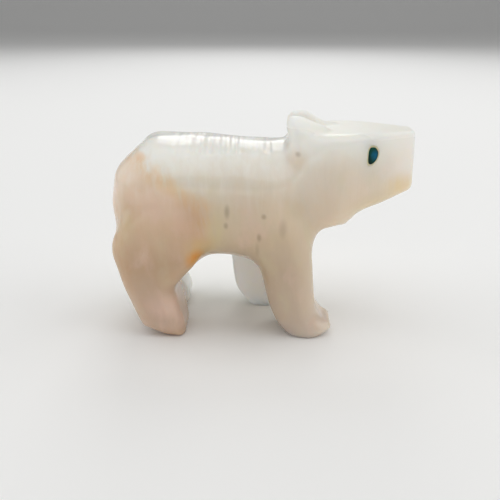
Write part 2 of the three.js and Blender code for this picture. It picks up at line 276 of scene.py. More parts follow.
class BearForm:
    """The carved form as a distance, negative inside the stone, in hundredths of the length."""

    UPPER_EDGE_FROM = 60.5
    LOWER_EDGE_FROM = 49.8
    SOLE_EDGE = 0.5
    LEAST_STEEP = 0.2
    # The flat head hardly has the waves: by how much, from which x and z on, and over how far.
    CALM = 0.75
    CALM_FROM = (12, 40)
    CALM_OVER = (8, 6)
    WAVES = (
        # x, y and z turns for each hundredth of the length, start, height
        (0.055, 0.02, 0.04, 0.3, 0.07),
        (-0.06, 0.08, 0.06, 1.7, 0.04),
        (0.11, -0.05, 0.07, 4.1, 0.025),
        (0.04, 0.11, -0.1, 2.2, 0.015),
    )
    NICKS = (
        Nick(24.4, 36.9, 0.9, 0.9),
        Nick(27.2, 37.5, 1.8, -0.7),
        Nick(30.6, 41.0, 1.2, 0.35),
        Nick(-24.9, 6.3, 0.9, 0.45),
        Nick(-45.1, 59.4, 1.0, 0.3),
        Nick(-25.0, 63.6, 2.6, 0.28, -5.5),
        Nick(5.6, 60.5, 3.5, -0.38, -11.8),
    )

    def __init__(self) -> None:
        """Draws the sheets and the curves along the trunk."""
        self.trunk = DistanceSheet(TRUNK)
        self.limbs = [
            (DistanceSheet(HIND_LEG_RIGHT), Side.RIGHT, HIND_LEG_ACROSS),
            (DistanceSheet(HIND_LEG_LEFT), Side.LEFT, HIND_LEG_ACROSS),
            (DistanceSheet(FRONT_LEG_RIGHT), Side.RIGHT, FRONT_LEG_ACROSS),
            (DistanceSheet(FRONT_LEG_LEFT), Side.LEFT, FRONT_LEG_ACROSS),
            (DistanceSheet(EAR_RIGHT), Side.RIGHT, EAR_ACROSS),
            (DistanceSheet(EAR_LEFT), Side.LEFT, EAR_ACROSS),
        ]
        self.at = np.array([station.at for station in STATIONS])

    def _along(self, key: str, x: np.ndarray) -> np.ndarray:
        """A smooth curve through one value of every station.

        Args:
            key: the value's name.
            x: places along the bear.

        Returns:
            The value at each place.
        """
        value = np.array([getattr(station, key) for station in STATIONS])
        slope = np.empty_like(value)
        slope[1:-1] = (value[2:] - value[:-2]) / (self.at[2:] - self.at[:-2])
        slope[0] = (value[1] - value[0]) / (self.at[1] - self.at[0])
        slope[-1] = (value[-1] - value[-2]) / (self.at[-1] - self.at[-2])
        inside = np.clip(x, self.at[0], self.at[-1])
        i = np.clip(np.searchsorted(self.at, inside, side="right") - 1, 0, len(self.at) - 2)
        span = self.at[i + 1] - self.at[i]
        t = (inside - self.at[i]) / span
        rise = (1 + 2 * t) * (1 - t) ** 2 * value[i] + t * t * (3 - 2 * t) * value[i + 1]
        return rise + t * (1 - t) * span * ((1 - t) * slope[i] - t * slope[i + 1])

    def _relief(self, x: np.ndarray, y: np.ndarray, z: np.ndarray) -> np.ndarray:
        """What hand polishing left: very shallow waves, calmer on the head, and small nicks.

        Args:
            x: places along.
            y: places across.
            z: places up.

        Returns:
            How far the surface is set in.
        """
        relief = 0.0
        for turn_x, turn_y, turn_z, start, height in self.WAVES:
            relief = relief + height * np.sin(math.tau * (turn_x * x + turn_y * y + turn_z * z) + start)
        on_head = smooth_step((x - self.CALM_FROM[0]) / self.CALM_OVER[0])
        above_jaw = smooth_step((z - self.CALM_FROM[1]) / self.CALM_OVER[1])
        relief = relief * (1 - self.CALM * on_head * above_jaw)
        for nick in self.NICKS:
            squared = ((x - nick.x) ** 2 + (z - nick.z) ** 2) / nick.reach**2
            if nick.y is not None:
                squared = squared + ((y - nick.y) / nick.reach) ** 2
            relief = relief + nick.depth * np.exp(-squared)
        return relief

    def distance(self, x: np.ndarray, y: np.ndarray, z: np.ndarray) -> np.ndarray:
        """The distance to the carved surface.

        Args:
            x: places along, of shapes that broadcast with the others.
            y: places across.
            z: places up.

        Returns:
            The distances.
        """
        side_x, side_z = np.broadcast_arrays(x, z)
        low = smooth_step((self.UPPER_EDGE_FROM - z) / (self.UPPER_EDGE_FROM - self.LOWER_EDGE_FROM))
        upper = self._along("upper", x)
        edge = upper + (self._along("lower", x) - upper) * low
        result = rounded_meet(self.trunk.read(side_x, side_z), np.abs(y) - self._along("half", x), edge)
        for sheet, side, across in self.limbs:
            outline = sheet.read(side_x, side_z)
            out = y * side.value
            face = (out - across.outer - across.lean * (across.level - z)) / math.hypot(1, across.lean)
            outer = rounded_meet(outline, face, across.outer_edge)
            inner = rounded_meet(outline, across.inner - out, across.inner_edge)
            result = fillet_join(result, np.maximum(outer, inner), across.fillet)
        result = result + self._relief(x, y, z)
        return rounded_meet(result, -z, self.SOLE_EDGE)

    def slope(self, points: np.ndarray) -> np.ndarray:
        """The way out of the stone, as the distance's slope.

        Args:
            points: places, one row each.

        Returns:
            The slopes, one row each.
        """
        step = 0.05
        slopes = []
        for axis in range(3):
            ahead, behind = points.copy(), points.copy()
            ahead[:, axis] += step
            behind[:, axis] -= step
            slopes.append((self.distance(*ahead.T) - self.distance(*behind.T)) / (2 * step))
        return np.stack(slopes, axis=1)

    def settle(self, points: np.ndarray, rounds: int) -> np.ndarray:
        """Moves points straight onto the surface.

        Args:
            points: places near the surface.
            rounds: how often they are moved.

        Returns:
            The places on the surface.
        """
        for _ in range(rounds):
            slope = self.slope(points)
            steep = np.maximum((slope**2).sum(axis=1), self.LEAST_STEEP)
            points = points - slope * (self.distance(*points.T) / steep)[:, None]
        return points


class SurfaceNet:
    """The closed surface of a form: one vertex in each crossed cell, one face for each crossed edge."""

    CORNERS = tuple((i, j, k) for i in (0, 1) for j in (0, 1) for k in (0, 1))
    LOW = (-53.0, -24.0, -2.0)
    HIGH = (54.0, 24.0, 76.0)

    def __init__(self, form: BearForm, cell: float) -> None:
        """Samples the form.

        Args:
            form: the form to mesh.
            cell: the cells' size.
        """
        self.cell = cell
        self.low = np.floor(np.array(self.LOW) / cell) * cell
        counts = np.ceil((np.array(self.HIGH) - self.low) / cell).astype(int) + 1
        x, y, z = (self.low[axis] + cell * np.arange(counts[axis]) for axis in range(3))
        self.values = form.distance(x[:, None, None], y[None, :, None], z[None, None, :])

    def build(self) -> tuple[np.ndarray, np.ndarray]:
        """Finds the surface.

        Returns:
            The vertices and the four-sided faces.
        """
        inside = self.values < 0
        nx, ny, nz = inside.shape
        corners = np.stack([inside[i:nx - 1 + i, j:ny - 1 + j, k:nz - 1 + k] for i, j, k in self.CORNERS])
        crossed = corners.any(axis=0) & ~corners.all(axis=0)
        cells = np.argwhere(crossed)
        index = np.full(crossed.shape, -1)
        index[crossed] = np.arange(len(cells))
        return self._vertices(cells), self._faces(inside, index)

    def _vertices(self, cells: np.ndarray) -> np.ndarray:
        """One vertex for each cell: the mean of where its edges cross the surface.

        Args:
            cells: the crossed cells.

        Returns:
            The vertices.
        """
        total = np.zeros((len(cells), 3))
        count = np.zeros(len(cells))
        for start in self.CORNERS:
            for axis in range(3):
                if start[axis]:
                    continue
                end = list(start)
                end[axis] = 1
                a = self.values[tuple((cells + start).T)]
                b = self.values[tuple((cells + end).T)]
                crosses = (a < 0) != (b < 0)
                along = np.where(crosses, a / np.where(crosses, a - b, 1), 0)
                place = np.tile(np.array(start, float), (len(cells), 1))
                place[:, axis] += along
                total += np.where(crosses[:, None], place, 0)
                count += crosses
        return (cells + total / count[:, None]) * self.cell + self.low

    @staticmethod
    def _faces(inside: np.ndarray, index: np.ndarray) -> np.ndarray:
        """One face for each grid edge that goes through the surface.

        Args:
            inside: which samples are in the stone.
            index: each crossed cell's vertex.

        Returns:
            The faces, facing out.
        """
        faces = []
        for axis in range(3):
            u, v = (axis + 1) % 3, (axis + 2) % 3
            here = [slice(1, size - 1) for size in inside.shape]
            here[axis] = slice(0, inside.shape[axis] - 1)
            there = list(here)
            there[axis] = slice(1, inside.shape[axis])
            a, b = inside[tuple(here)], inside[tuple(there)]
            step_u, step_v = np.zeros(3, int), np.zeros(3, int)
            step_u[u], step_v[v] = 1, 1
            for leaves, order in ((a & ~b, 1), (~a & b, -1)):
                base = np.argwhere(leaves)
                base[:, [u, v]] += 1
                ring = [base - step_u - step_v, base - step_v, base, base - step_u][::order]
                faces.append(np.stack([index[tuple(corner.T)] for corner in ring], axis=1))
        return np.concatenate(faces)


@dataclass(frozen=True)
class Placement:
    """Where the drawing lies in the frame: each axis's metres in a hundredth of the length, and a shift."""

    units: tuple[float, float, float]
    shift: tuple[float, float, float]

    @property
    def unit(self) -> float:
        """Metres in a hundredth of the length."""
        return self.units[0]

    def to_frame(self, points: np.ndarray) -> np.ndarray:
        """Drawing places as places in the frame, in metres."""
        return points * np.array(self.units) + np.array(self.shift)

    def to_drawing(self, points: np.ndarray) -> np.ndarray:
        """Places in the frame as places on the drawing."""
        return (points - np.array(self.shift)) / np.array(self.units)


def new_mesh_object(name: str, vertices: np.ndarray, faces: np.ndarray) -> bpy.types.Object:
    """A mesh object with smooth faces, linked to the scene.

    Args:
        name: the object's name.
        vertices: places in metres.
        faces: vertex numbers, one row a face.

    Returns:
        The object.
    """
    mesh = bpy.data.meshes.new(name)
    mesh.vertices.add(len(vertices))
    mesh.vertices.foreach_set("co", vertices.astype(np.float32).ravel())
    sides = faces.shape[1]
    mesh.loops.add(faces.size)
    mesh.loops.foreach_set("vertex_index", faces.astype(np.int32).ravel())
    mesh.polygons.add(len(faces))
    mesh.polygons.foreach_set("loop_start", np.arange(0, faces.size, sides, dtype=np.int32))
    mesh.update(calc_edges=True)
    mesh.validate()
    mesh.shade_smooth()
    made = bpy.data.objects.new(name, mesh)
    bpy.context.scene.collection.objects.link(made)
    return made


def apply_modifiers(made: bpy.types.Object) -> None:
    """Turns an object's evaluated form into its plain mesh, and removes its modifiers.

    Args:
        made: the object.
    """
    depsgraph = bpy.context.evaluated_depsgraph_get()
    old = made.data
    plain = bpy.data.meshes.new_from_object(made.evaluated_get(depsgraph), depsgraph=depsgraph)
    made.modifiers.clear()
    made.data = plain
    name = old.name
    bpy.data.meshes.remove(old)
    plain.name = name


class Signal:
    """A number in a shader, which adds Math nodes when it is used in an expression."""

    def __init__(self, sheet: "ShaderSheet", socket: Socket) -> None:
        """Wraps a number's socket in a shader."""
        self.sheet = sheet
        self.socket = socket

    def math(self, operation: str, *others: "Signal | float", first: float | None = None) -> "Signal":
        """A Math node on this number.

        Args:
            operation: the node's operation.
            others: the further inputs.
            first: what comes before this number, if anything.

        Returns:
            The result.
        """
        inputs = [self, *others] if first is None else [first, self, *others]
        made = self.sheet.node("ShaderNodeMath", {"operation": operation}, dict(enumerate(inputs)))
        return Signal(self.sheet, made.outputs[0])

    def __add__(self, other: "Signal | float") -> "Signal":
        """The sum."""
        return self.math("ADD", other)

    __radd__ = __add__

    def __sub__(self, other: "Signal | float") -> "Signal":
        """The difference."""
        return self.math("SUBTRACT", other)

    def __rsub__(self, other: float) -> "Signal":
        """A number less this one."""
        return self.math("SUBTRACT", first=other)

    def __mul__(self, other: "Signal | float") -> "Signal":
        """The product."""
        return self.math("MULTIPLY", other)

    __rmul__ = __mul__

    def __abs__(self) -> "Signal":
        """The size without its sign."""
        return self.math("ABSOLUTE")

    def least(self, other: "Signal", softness: float) -> "Signal":
        """The smaller of two numbers, with a soft change from one to the other."""
        return self.math("SMOOTH_MIN", other, softness)

    def step(self, low: float, high: float) -> "Signal":
        """A soft rise from 0 to 1 between two values, or a fall where low is above high.

        Args:
            low: where it is 0.
            high: where it is 1.

        Returns:
            The rise.
        """
        ends = (0.0, 1.0) if low < high else (1.0, 0.0)
        made = self.sheet.node(
            "ShaderNodeMapRange",
            {"interpolation_type": "SMOOTHSTEP"},
            {
                "Value": self,
                "From Min": min(low, high),
                "From Max": max(low, high),
                "To Min": ends[0],
                "To Max": ends[1],
            },
        )
        return Signal(self.sheet, made.outputs[0])


def feed(socket: Socket, value: object) -> None:
    """Links a signal or a socket to an input, or sets the input's own value.

    Args:
        socket: the input.
        value: what it gets.
    """
    source = value.socket if isinstance(value, Signal) else value
    if isinstance(source, Socket):
        socket.id_data.links.new(source, socket)
    else:
        socket.default_value = source


class ShaderSheet:
    """A material's node tree, with one method that makes any node."""

    SPOT_CORE = 0.15

    def __init__(self, name: str) -> None:
        """Makes the material.

        Args:
            name: the material's name.
        """
        self.material = bpy.data.materials.new(name)
        self.material.use_nodes = True
        self.tree = self.material.node_tree
        self.tree.nodes.clear()

    def node(self, kind: str, settings: dict | None = None, sockets: dict | None = None) -> bpy.types.Node:
        """Makes a node.

        Args:
            kind: the node's type.
            settings: its settings, which are set first. A ramp's stops come as "stops".
            sockets: values, signals or sockets for its inputs, by name or number.

        Returns:
            The node.
        """
        made = self.tree.nodes.new(kind)
        for key, value in (settings or {}).items():
            if key == "stops":
                self._stops(made, value)
            else:
                setattr(made, key, value)
        for key, value in (sockets or {}).items():
            feed(made.inputs[key], value)
        return made

    @staticmethod
    def _stops(ramp: bpy.types.Node, stops: Iterable[tuple[float, Colour]]) -> None:
        """Sets a colour ramp's stops."""
        elements = ramp.color_ramp.elements
        for i, (place, colour) in enumerate(stops):
            element = elements[i] if i < len(elements) else elements.new(place)
            element.position = place
            element.color = (*colour, 1)

    def places(self, unit: float) -> Socket:
        """The surface's own places, in hundredths of the bear's length."""
        own = self.node("ShaderNodeTexCoord").outputs["Object"]
        return self.node("ShaderNodeMapping", {}, {"Vector": own, "Scale": (1 / unit,) * 3}).outputs[0]

    def parts(self, vector: Socket) -> tuple[Signal, Signal, Signal]:
        """A vector's x, y and z."""
        split = self.node("ShaderNodeSeparateXYZ", {}, {0: vector})
        return tuple(Signal(self, output) for output in split.outputs)

    def noise(self, vector: Socket, scale: float, detail: float = 3, rough: float = 0.55) -> Signal:
        """A noise about 0.5 on average: how fine it is, its number of finer layers and their strength."""
        sockets = {"Vector": vector, "Scale": scale, "Detail": detail, "Roughness": rough}
        return Signal(self, self.node("ShaderNodeTexNoise", {}, sockets).outputs[0])

    def stretched(self, vector: Socket, scale: Sequence[float], turn: Sequence[float] = (0, 0, 0)) -> Socket:
        """Places with each axis scaled by itself, after a turn in radians."""
        turned = self.node("ShaderNodeMapping", {}, {"Vector": vector, "Rotation": turn})
        return self.node("ShaderNodeMapping", {}, {"Vector": turned.outputs[0], "Scale": scale}).outputs[0]

    def mix(self, factor: Signal | float, a: object, b: object) -> Socket:
        """Colour a turned into colour b by a factor.

        Args:
            factor: 0 for a, 1 for b.
            a: a colour or its socket.
            b: a colour or its socket.

        Returns:
            The mixed colour's socket.
        """
        made = self.node("ShaderNodeMix", {"data_type": "RGBA"}, {0: factor})
        for number, value in ((6, a), (7, b)):
            feed(made.inputs[number], (*value, 1) if isinstance(value, tuple) else value)
        return made.outputs[2]

    def ramp(self, value: Signal, stops: Sequence[tuple[float, Colour]]) -> Socket:
        """A colour that follows a value through stops.

        Args:
            value: the value.
            stops: the values and colours, in order.

        Returns:
            The colour's socket.
        """
        low, span = stops[0][0], stops[-1][0] - stops[0][0]
        placed = [((place - low) / span, colour) for place, colour in stops]
        made = self.node("ShaderNodeValToRGB", {"stops": placed}, {0: (value - low) * (1 / span)})
        return made.outputs[0]

    def spot(self, vector: Socket, centre: Sequence[float], reach: Sequence[float]) -> Signal:
        """A soft round or long spot: 1 at its centre, 0 outside its reach.

        Args:
            vector: the places.
            centre: the spot's centre.
            reach: how far it reaches along each axis.

        Returns:
            The spot.
        """
        for operation, other in (("SUBTRACT", centre), ("DIVIDE", reach)):
            made = self.node("ShaderNodeVectorMath", {"operation": operation}, {0: vector, 1: other})
            vector = made.outputs[0]
        length = self.node("ShaderNodeVectorMath", {"operation": "LENGTH"}, {0: vector})
        return Signal(self, length.outputs["Value"]).step(1.0, self.SPOT_CORE)

    def finish(self, sockets: dict, other: dict | None = None, share: Signal | None = None) -> Material:
        """Ends the material in a Principled shader, or in a mix of two.

        Args:
            sockets: what the shader's inputs get.
            other: what the inputs of the other shader get, if there is one.
            share: how much of the other shader shows.

        Returns:
            The material.
        """
        surface = self.node("ShaderNodeBsdfPrincipled", {}, sockets)
        if other is not None:
            second = self.node("ShaderNodeBsdfPrincipled", {}, other)
            both = {0: share, 1: surface.outputs[0], 2: second.outputs[0]}
            surface = self.node("ShaderNodeMixShader", {}, both)
        self.node("ShaderNodeOutputMaterial", {}, {"Surface": surface.outputs[0]})
        return self.material


def linear(red: int, green: int, blue: int) -> Colour:
    """A screen colour of 0 to 255 as linear light."""
    levels = (level / 255 for level in (red, green, blue))
    return tuple(v / 12.92 if v <= 0.04045 else ((v + 0.055) / 1.055) ** 2.4 for v in levels)


def tones(*rows: tuple[int, int, int, int]) -> tuple[tuple[float, Colour], ...]:
    """Heights and screen colours as a ramp's stops."""
    return tuple((height, linear(*colour)) for height, *colour in rows)


@dataclass(frozen=True)
class Stain:
    """A soft stain in the stone: its centre and reach, its colour and how strong it is."""

    centre: tuple[float, float, float]
    reach: tuple[float, float, float]
    colour: Colour
    strength: float

    def over(self, sheet: ShaderSheet, places: Socket, colour: Socket, share: Signal | float = 1.0) -> Socket:
        """A colour with this stain, or a share of it, laid over it."""
        spot = sheet.spot(places, self.centre, self.reach)
        return sheet.mix(spot * share * self.strength, colour, self.colour)


@dataclass(frozen=True)
class Wash:
    """A wash of colour: where it begins and where it is full, along and up, and how strong it is."""

    along: tuple[float, float]
    up: tuple[float, float]
    colour: Colour
    strength: float

    def over(self, sheet: ShaderSheet, x: Signal, z: Signal, colour: Socket) -> Socket:
        """A colour with this wash laid over it."""
        return sheet.mix(x.step(*self.along) * z.step(*self.up) * self.strength, colour, self.colour)


@dataclass(frozen=True)
class CalciteFinish:
    """Polished calcite: milky white above and beige below, darker towards the bottom partly as painted shade,
    a pinkish haunch with an orange knot, dark specks, and painted light on the far legs, the muzzle, the
    head's top and the rump's edge.

    All places are in hundredths of the bear's length.
    """

    unit: float
    # colour by height: the stone's milky top and beige lower parts, with painted shade darkening it towards
    # the bottom
    body: tuple = tones(
        (0, 190, 174, 164), (10, 197, 177, 157), (24, 198, 177, 151), (36, 214, 193, 164),
        (46, 223, 206, 181), (54, 231, 223, 209), (62, 242, 241, 234), (76, 242, 242, 237),
    )
    # the haunch by height, likewise darker towards the bottom with painted shade
    haunch: tuple = tones(
        (0, 203, 178, 158), (12, 206, 181, 158), (26, 202, 172, 141), (40, 222, 194, 164),
        (50, 233, 208, 184), (60, 240, 224, 206), (76, 243, 236, 226),
    )
    # the far legs' white, partly painted light through the stone
    far_leg_white_and_painted_light: Colour = linear(252, 252, 242)
    border: Colour = linear(232, 194, 142)
    # painted rim light on the rump's left edge
    rim: Colour = linear(252, 238, 228)
    by_eye: Colour = linear(253, 247, 228)
    pale_streak: Colour = linear(250, 248, 240)
    dark_streak: Colour = linear(222, 208, 188)
    umber: Colour = linear(196, 150, 108)
    blush: Colour = linear(236, 206, 190)
    lichen: Colour = linear(214, 206, 168)
    speck: Colour = linear(128, 100, 72)
    specks: tuple[Stain, ...] = (
        Stain((11.0, -13.5, 61.9), (1.3, 6, 1.2), speck, 0.34),
        Stain((-11.1, -20.3, 44.8), (1.3, 6, 3.3), speck, 0.34),
        Stain((-11.5, -20.3, 40.2), (1.1, 5, 1.6), speck, 0.34),
        Stain((0.5, -21.5, 43.7), (1.2, 5, 1.3), speck, 0.34),
        Stain((-1.0, -21.2, 36.6), (1.1, 5, 2.1), speck, 0.34),
        Stain((6.5, -21.2, 39.7), (1.9, 6, 4.6), speck, 0.2),
        Stain((-1.6, -21.2, 31.5), (1.1, 5, 4.5), speck, 0.2),
    )
    washes: tuple[Wash, ...] = (
        # the neck and the jaw
        Wash((0, 26), (69, 54), linear(236, 220, 200), 0.6),
        # the muzzle, whiter: painted light where the light from ahead falls on it
        Wash((34, 47), (46, 58), linear(248, 243, 236), 0.8),
        # the head's flat top, paler than the head's sides: partly the stone's white, partly painted light on
        # the upward face
        Wash((14, 21), (66.2, 67.2), linear(238, 237, 228), 1.0),
    )
    stains: tuple[Stain, ...] = (
        # the haunch's front border, the belly before it, and the orange knot with its pale surround
        Stain((-22.0, -20.0, 41.0), (8.0, 12.0, 12.0), umber, 0.36),
        Stain((-15.0, -20.0, 38.0), (5.0, 10.0, 10.0), linear(218, 202, 150), 0.4),
        Stain((-19.8, -20.0, 32.0), (7.0, 12.0, 7.5), linear(224, 188, 124), 0.5),
        Stain((-21.6, -19.0, 28.0), (4.4, 9.0, 5.6), linear(224, 158, 70), 0.95),
        # the rump's upper corner, the front foot and the hind foot
        Stain((-39.2, -15.5, 60.9), (3.0, 7.0, 2.6), linear(232, 176, 104), 0.6),
        Stain((23.0, -15.0, 6.0), (5.5, 14.0, 6.5), linear(214, 200, 190), 0.6),
        Stain((-33.0, -20.0, 12.0), (8.0, 12.0, 7.0), blush, 0.5),
        # the mouth, the jaw and the ear's root
        Stain((45.5, -8.0, 50.0), (9.0, 10.0, 6.0), linear(236, 214, 160), 0.6),
        Stain((36.0, -10.0, 44.0), (13.0, 12.0, 7.0), linear(220, 202, 164), 0.6),
        Stain((11.0, -14.0, 60.0), (5.0, 8.0, 5.0), linear(226, 208, 182), 0.5),
    )
    sole: Wash = Wash((-20, -24), (4.5, 0.3), umber, 0.5)
    # the grooves over the back: place along, half their width, depth
    grooves: tuple[tuple[float, float, float], ...] = (
        (-27.5, 1.8, 2.4), (-25.2, 1.5, 2.0), (-22.9, 1.8, 2.8), (-18.9, 1.5, 4.2), (-16.1, 1.2, 3.2),
        (-12.8, 1.5, 4.2), (-9.6, 1.3, 3.6), (-7.0, 1.6, 4.2), (-2.5, 1.0, 1.2), (1.6, 1.8, 4.6),
    )
    grooves_up: tuple[float, float] = (61.0, 62.4)
    eye_spot: tuple = ((34.65, 0.0, 61.2), (6.5, 60.0, 6.5))
    deep: tuple = (("Weight", 1.0), ("Radius", (1.0, 0.85, 0.7)), ("Scale", 4.0 * MM))

    def build(self) -> Material:
        """Makes the material.

        Returns:
            The material.
        """
        sheet = ShaderSheet("polished_calcite")
        places = sheet.places(self.unit)
        x, y, z = sheet.parts(places)
        cloud = sheet.noise(places, 0.05, 4)
        wisp = sheet.noise(sheet.stretched(places, (1.0, 0.6, 0.2), (0, 0.12, 0)), 0.4, 5, 0.6)
        height = z + (cloud - 0.5) * 12 + (wisp - 0.5) * 7
        zone = self._haunch_zone(sheet, places, x, z)
        inside = zone.step(1.6, -3.6)
        # The colours by height carry painted shade towards the bottom.
        colour = sheet.mix(inside, sheet.ramp(height, self.body), sheet.ramp(height, self.haunch))
        for wash in self.washes:
            colour = wash.over(sheet, x, z, colour)
        near_eye = sheet.spot(places, *self.eye_spot)
        colour = sheet.mix(near_eye * 0.6, colour, self.by_eye)
        # Yellowish and pinkish clouds.
        tint = sheet.noise(sheet.stretched(places, (1.0, 1.0, 0.6)), 0.1, 4)
        colour = sheet.mix(tint.step(0.5, 0.72) * z.step(64, 50) * 0.3, colour, self.lichen)
        colour = sheet.mix(tint.step(0.5, 0.3) * z.step(60, 40) * 0.35, colour, self.blush)
        # The left legs are nearly white below a clouded border: partly the stone's white, partly painted
        # light standing in for light that passes through the stone into the far legs' shade.
        paling = (z + (cloud - 0.5) * 40 + (tint - 0.5) * 14).step(46, 22)
        colour = sheet.mix(y.step(-2, 4) * paling, colour, self.far_leg_white_and_painted_light)
        # Fine upright streaks on the back.
        streak = sheet.noise(sheet.stretched(places, (1.0, 0.3, 0.08)), 0.55, 3, 0.6)
        band = z.step(40, 54) * x.step(14, 2)
        colour = sheet.mix(streak.step(0.5, 0.68) * band * 0.1, colour, self.pale_streak)
        colour = sheet.mix(streak.step(0.48, 0.34) * band * 0.1, colour, self.dark_streak)
        colour = self._stained(sheet, places, colour, zone, wisp)
        for speck in self.specks:
            colour = speck.over(sheet, places, colour)
        # The ears and the head's flat top are less shiny.
        on_head_top = z.step(64.8, 66.6) * x.step(13, 20) * abs(y).step(14, 11.5)
        matt = z.step(67.8, 70.8) * x.step(24, 20) * 0.3 + on_head_top * 0.22
        sockets = {
            "Base Color": colour,
            "Roughness": sheet.noise(places, 0.5, 4) * 0.1 + 0.13 + matt,
            "IOR": 1.58,
            "Normal": self._polish(sheet, places),
        }
        deep = {"Subsurface " + name: value for name, value in self.deep}
        return sheet.finish(sockets | deep, sockets, near_eye)

    def _stained(
        self, sheet: ShaderSheet, places: Socket, colour: Socket, zone: Signal, wisp: Signal
    ) -> Socket:
        """The stains: a warm wash along the haunch's border, the stains, a painted rim light on the rump's
        edge and a brown sole.

        Args:
            sheet: the shader.
            places: the places.
            colour: the colour so far.
            zone: how far a place is outside the haunch.
            wisp: the fine upright wisps.

        Returns:
            The stained colour's socket.
        """
        x, _, z = sheet.parts(places)
        strength = wisp.step(0.3, 0.6)
        wash = abs(zone + 0.4).step(4.0, 0.4) * z.step(33, 42)
        colour = sheet.mix(wash * strength * 0.5, colour, self.border)
        for stain in self.stains:
            colour = stain.over(sheet, places, colour, strength * 0.4 + 0.6)
        # Painted rim light: the upper end of the rump made pale where side light catches its edge.
        edge = x + (sheet.noise(places, 0.09, 4) - 0.5) * 12
        rim = edge.step(-42.5, -50.5) * (z + (wisp - 0.5) * 16).step(30, 50)
        colour = sheet.mix(rim * 0.75, colour, self.rim)
        return self.sole.over(sheet, x, z, colour)

    def _haunch_zone(self, sheet: ShaderSheet, places: Socket, x: Signal, z: Signal) -> Signal:
        """How far a place is outside the pinkish haunch, in hundredths of the length.

        Args:
            sheet: the shader.
            places: the places.
            x: places along.
            z: places up.

        Returns:
            The distance, negative inside.
        """
        # Two straight borders, one slanting over the back and one before the hind leg, and a wobble.
        slant = x * 0.53 + z * 0.85 - 30.2
        upright = x * 0.98 - z * 0.17 + 24.6
        wobble = (sheet.noise(places, 0.12, 4) - 0.5) * 7
        return (slant * -1).least(upright * -1, 6.0) * -1 + wobble

    def _polish(self, sheet: ShaderSheet, places: Socket) -> Socket:
        """The bump of hand polishing: fine strokes round the body, a few grooves over the back and tiny pits.

        Args:
            sheet: the shader.
            places: the places.

        Returns:
            The normal's socket.
        """
        strokes = sheet.noise(sheet.stretched(places, (1.0, 0.08, 0.06)), 0.55, 4, 0.55)
        grain = sheet.noise(places, 0.9, 3)
        height = strokes * 0.85 + grain * 0.15
        x, _, z = sheet.parts(places)
        drawn = x + (strokes - 0.5) * 1.2 + z * 0.04 - 2.5
        for at, reach, depth in self.grooves:
            height = height - abs(drawn - at).step(reach, 0.0) * z.step(*self.grooves_up) * depth
        bump = sheet.node("ShaderNodeBump", {}, {"Strength": 0.6, "Distance": 0.08 * MM, "Height": height})
        return bump.outputs[0]


@dataclass(frozen=True)
class InlayFinish:
    """A dark blue-green stone, darker at its rim."""

    unit: float
    middle: Colour = linear(0, 98, 138)
    rim: Colour = linear(0, 66, 54)
    dark: Colour = linear(0, 30, 22)
    centre: tuple[float, float, float] = (35.1, 0.0, 61.2)

    def build(self) -> Material:
        """Makes the material.

        Returns:
            The material.
        """
        sheet = ShaderSheet("polished_turquoise")
        places = sheet.places(self.unit)
        x, _, z = sheet.parts(places)
        cloud = sheet.noise(places, 0.9, 5, 0.65)
        pool = sheet.spot(places, self.centre, (1.7, 60.0, 2.3))
        colour = sheet.mix(pool * cloud.step(0.2, 0.6), self.rim, self.middle)
        fold = self.centre[0] + self.centre[2] / 2
        shade = (z * 0.5 + x).step(fold - 0.6, fold - 2.4)
        colour = sheet.mix(shade * 0.8, colour, self.dark)
        return sheet.finish({"Base Color": colour, "Roughness": 0.2, "IOR": 1.3, "Specular IOR Level": 0.3})


@dataclass(frozen=True)
class GlueFinish:
    """The pale line of glue round an eye stone."""

    unit: float
    pale: Colour = linear(222, 208, 180)
    yellow: Colour = linear(212, 206, 160)

    def build(self) -> Material:
        """Makes the material.

        Returns:
            The material.
        """
        sheet = ShaderSheet("pale_glue")
        cloud = sheet.noise(sheet.places(self.unit), 1.5, 3)
        colour = sheet.mix(cloud.step(0.45, 0.65), self.pale, self.yellow)
        sockets = {"Base Color": colour, "Roughness": 0.4}
        return sheet.finish(sockets | {"Subsurface Weight": 0.4, "Subsurface Scale": 0.5 * MM})


@dataclass(frozen=True)
class BackdropFinish:
    """A matt, nearly white studio surface."""

    pale: Colour = (0.93, 0.93, 0.92)

    def build(self) -> Material:
        """Makes the material."""
        sheet = ShaderSheet("studio_white")
        return sheet.finish({"Base Color": (*self.pale, 1), "Roughness": 0.9})


